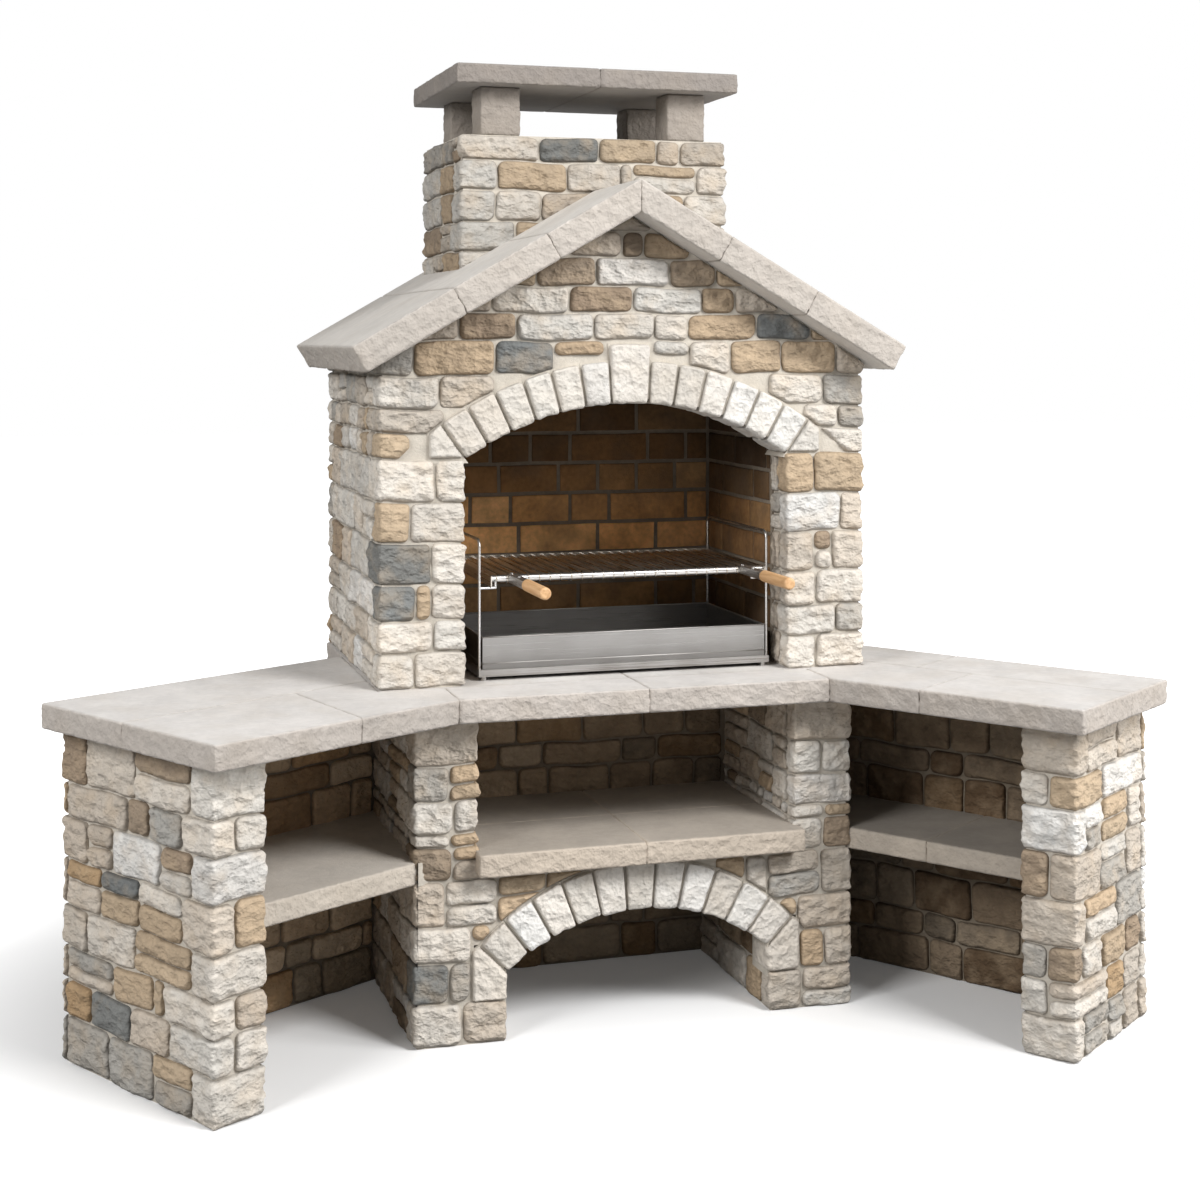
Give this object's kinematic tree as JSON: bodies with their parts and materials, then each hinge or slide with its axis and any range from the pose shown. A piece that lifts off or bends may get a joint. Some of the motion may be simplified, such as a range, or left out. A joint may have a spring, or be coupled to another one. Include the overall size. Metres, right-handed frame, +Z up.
{
  "type": "masonry barbecue",
  "caption": "Outdoor masonry barbecue of split stone with splayed worktop wings, arched brick-lined firebox, ember tray, lift-off grate, gabled roof and capped chimney.",
  "frame": {"origin": "on the ground, under the middle of the whole footprint's bounding box", "axes": "+X to the right as a cook sees the firebox, +Y from the firebox opening to its rear, +Z up"},
  "size_m": [2.6978, 1.5452, 2.417],
  "materials": {
    "split_stone": "rock-faced split limestone with light mortar",
    "arch_stone": "pale rock-faced limestone",
    "slab_stone": "smooth top, chipped edge",
    "firebrick": "fired brick with grey mortar",
    "hood_concrete": "refractory concrete, sooty",
    "stainless": "brushed",
    "grate_steel": "heat-darkened",
    "grip_wood": "turned beech, oiled"
  },
  "bodies": {
    "masonry": {"left_end_pillar": "split_stone", "right_end_pillar": "split_stone", "left_pier": "split_stone", "right_pier": "split_stone", "left_back_wall": "split_stone", "right_back_wall": "split_stone", "centre_back_wall": "split_stone", "wood_store_infill": "split_stone", "left_jamb": "split_stone", "right_jamb": "split_stone", "gable_wall": "split_stone", "left_side_wall": "split_stone", "right_side_wall": "split_stone", "rear_wall": "split_stone", "chimney_stack": "split_stone", "wood_store_springers": "arch_stone", "wood_store_arch_stones": "arch_stone", "firebox_springers": "arch_stone", "firebox_arch_stones": "arch_stone", "keystone": "arch_stone", "left_wing_shelf": "slab_stone", "right_wing_shelf_inner": "slab_stone", "right_wing_shelf_outer": "slab_stone", "centre_shelf_front": "slab_stone", "centre_shelf_rear": "slab_stone", "worktop_centre_left": "slab_stone", "worktop_centre_right": "slab_stone", "worktop_left_end": "slab_stone", "worktop_left_rear": "slab_stone", "worktop_right_end": "slab_stone", "worktop_right_rear_inner": "slab_stone", "worktop_right_rear_outer": "slab_stone", "hearth_slabs": "slab_stone", "roof_left_ridge_slab": "slab_stone", "roof_left_middle_slab": "slab_stone", "roof_left_eave_slab": "slab_stone", "roof_right_ridge_slab": "slab_stone", "roof_right_middle_slab": "slab_stone", "roof_right_eave_slab": "slab_stone", "roof_rear_ridge_slabs": "slab_stone", "chimney_posts": "slab_stone", "chimney_cap_slabs": "slab_stone", "left_brick_lining": "firebrick", "right_brick_lining": "firebrick", "back_brick_lining": "firebrick", "smoke_hood": "hood_concrete", "grill_base_frame": "stainless", "left_side_frame": "stainless", "right_side_frame": "stainless"},
    "ember_tray": {"ember_tray": "stainless"},
    "grate": {"grate_front_tube": "stainless", "grate_bars": "grate_steel", "grate_rear_rail": "grate_steel", "grate_side_plates": "grate_steel", "left_handle_bracket": "stainless", "right_handle_bracket": "stainless", "left_grip": "grip_wood", "right_grip": "grip_wood", "handle_rivets": "stainless"}
  },
  "joints": [
    {"name": "ember_tray_slide", "type": "slide", "parent": "masonry", "child": "ember_tray", "axis": [0, -1, 0], "range_m": [0, 0.3]},
    {"name": "grate_lift", "type": "slide", "parent": "masonry", "child": "grate", "axis": [0, 0, 1], "range_m": [0, 0.06]}
  ]
}
